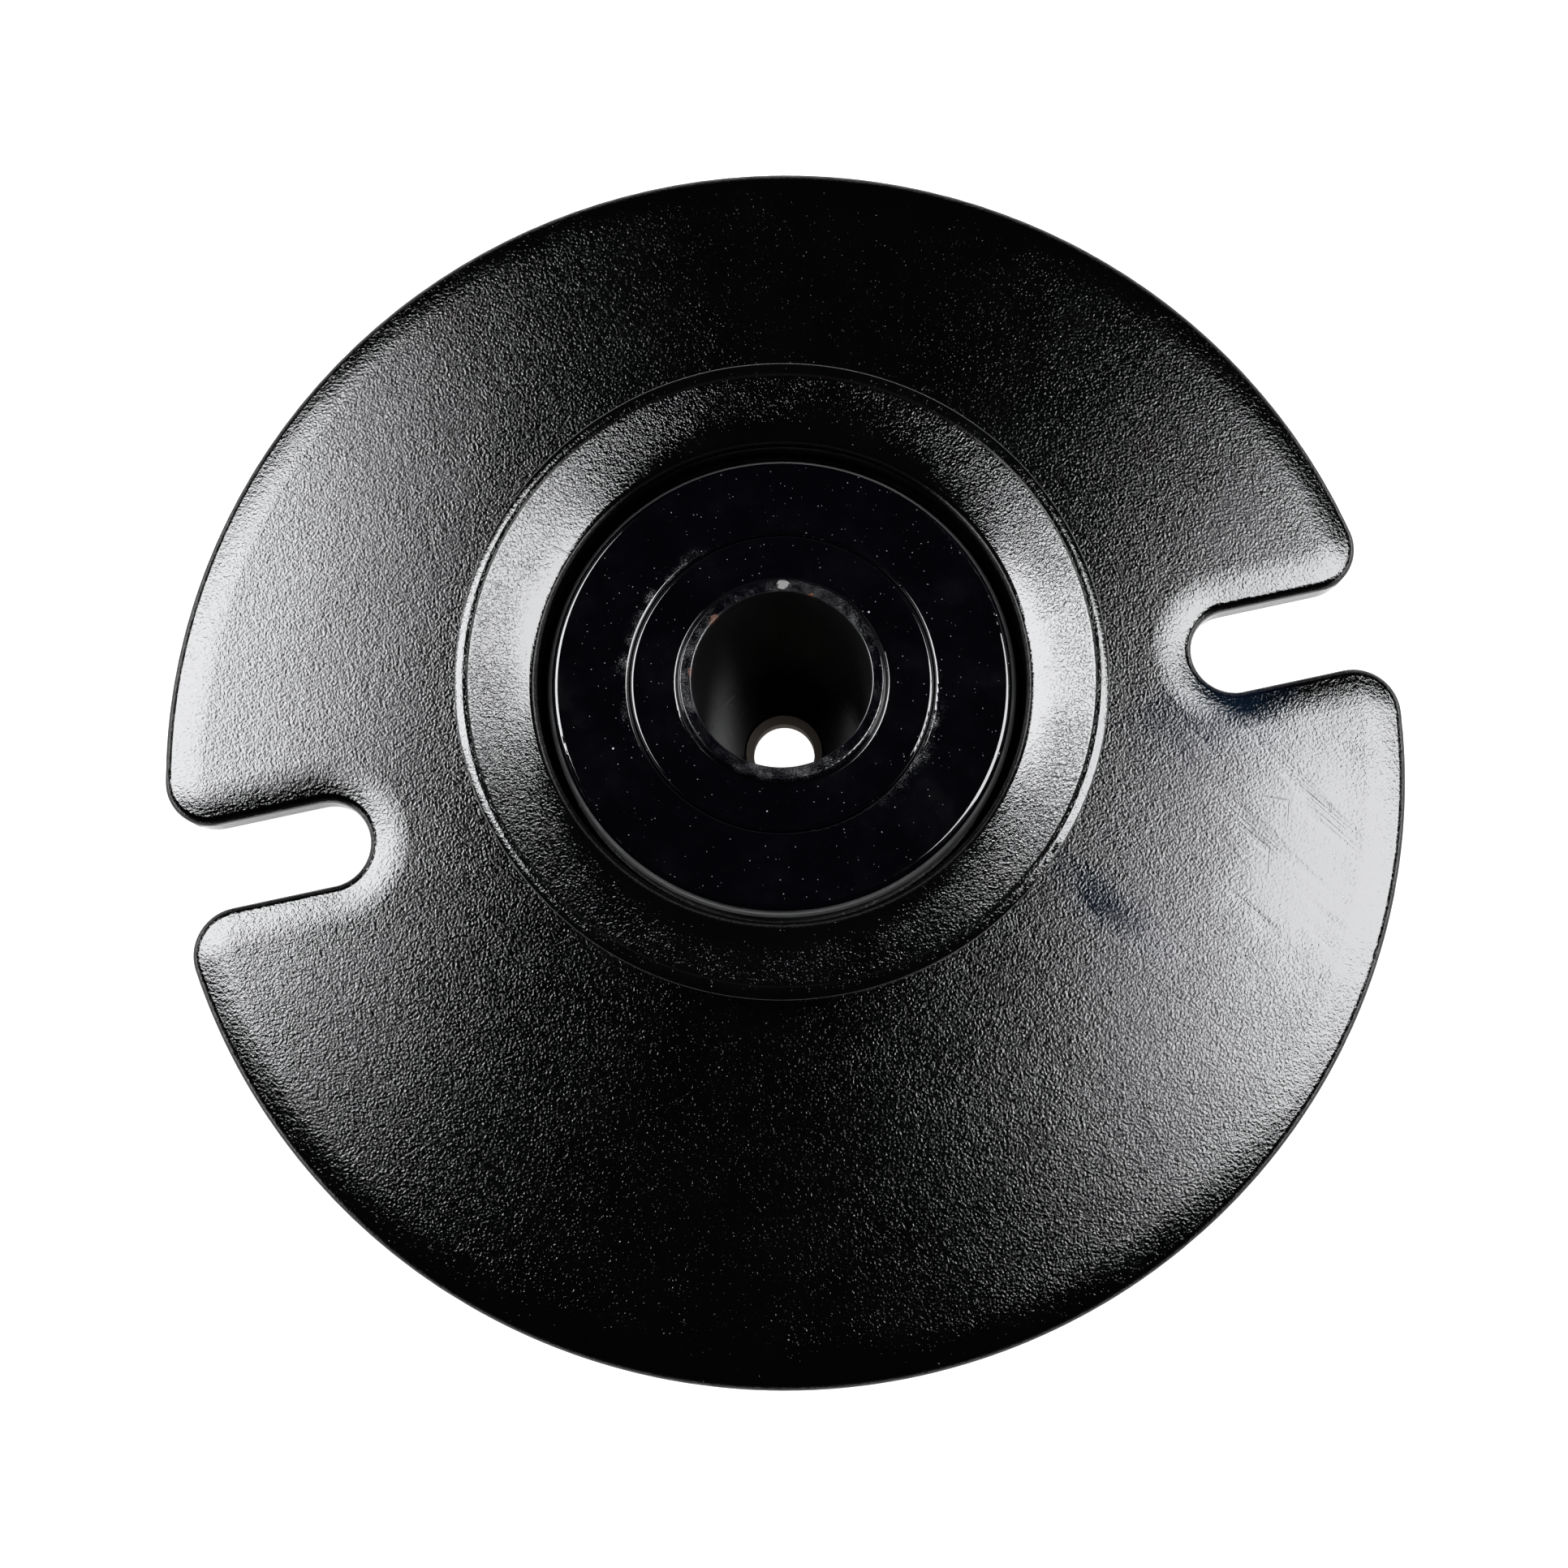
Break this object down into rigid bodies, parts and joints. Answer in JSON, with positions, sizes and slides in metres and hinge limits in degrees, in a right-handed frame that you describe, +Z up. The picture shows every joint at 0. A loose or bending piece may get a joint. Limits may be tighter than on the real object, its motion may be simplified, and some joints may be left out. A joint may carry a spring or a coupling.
{
  "type": "surface cleaner hub unit",
  "caption": "Round black disc-and-hub unit of a surface cleaner: crowned deck plate with open bolt slots, dished flange on a short neck, ball-bearing hub with a blind shaft bore.",
  "frame": {"origin": "on the hub's axis, level with the bearing housing's lower face", "axes": "+Z up along the hub's axis towards the bore's mouth; X through the middle of the two bolt slots"},
  "size_m": [0.1978, 0.2, 0.0592],
  "materials": {
    "deck_coat": "satin black powder coat with fine orange peel",
    "flange_coat": "semi-gloss black powder coat, streaky orange peel",
    "gloss_coat": "high gloss black enamel",
    "hub_coat": "gloss black enamel, worn to bare metal round the rim",
    "casting_coat": "satin black paint over a casting",
    "zinc_plate": "bright zinc plate",
    "screw_steel": "black oxide",
    "bearing_steel": "ground",
    "ball_steel": "polished",
    "cage_brass": "turned",
    "shield_steel": "pressed sheet",
    "turned_steel": "turned",
    "spring_steel": "phosphated",
    "seal_rubber": "matt",
    "gasket": "matt fibre-filled"
  },
  "bodies": {
    "deck": {"deck_plate": "deck_coat", "deck_gasket": "gasket", "backing_ring": "zinc_plate", "deck_screws": "screw_steel", "deck_washers": "zinc_plate", "bearing_housing": "casting_coat", "upper_flange": "flange_coat", "flange_set_screws": "screw_steel", "lower_outer_race": "bearing_steel", "lower_shields": "shield_steel", "upper_outer_race": "bearing_steel", "upper_shields": "shield_steel", "outer_spacer": "turned_steel", "preload_washer": "spring_steel", "housing_circlip": "spring_steel", "upper_seal": "seal_rubber", "lower_seal": "seal_rubber"},
    "spindle": {"hub_sleeve": "hub_coat", "cover_disc": "gloss_coat", "dust_ring": "seal_rubber", "lower_inner_race": "bearing_steel", "upper_inner_race": "bearing_steel", "inner_spacer": "turned_steel", "shaft_circlip": "spring_steel", "seal_sleeve": "turned_steel"},
    "lower_ball_set": {"lower_balls": "ball_steel", "lower_cage": "cage_brass"},
    "upper_ball_set": {"upper_balls": "ball_steel", "upper_cage": "cage_brass"}
  },
  "joints": [
    {"name": "hub_spin", "type": "hinge", "parent": "deck", "child": "spindle", "pos_m": [0, 0, 0.03], "axis": [0, 0, 1], "continuous": true},
    {"name": "lower_cage_spin", "type": "hinge", "parent": "deck", "child": "lower_ball_set", "pos_m": [0, 0, 0.0141], "axis": [0, 0, 1], "continuous": true},
    {"name": "upper_cage_spin", "type": "hinge", "parent": "deck", "child": "upper_ball_set", "pos_m": [0, 0, 0.0311], "axis": [0, 0, 1], "continuous": true}
  ],
  "couplings": [
    {"joint": "lower_cage_spin", "follows": "hub_spin", "ratio": 0.39647},
    {"joint": "upper_cage_spin", "follows": "hub_spin", "ratio": 0.39647}
  ]
}
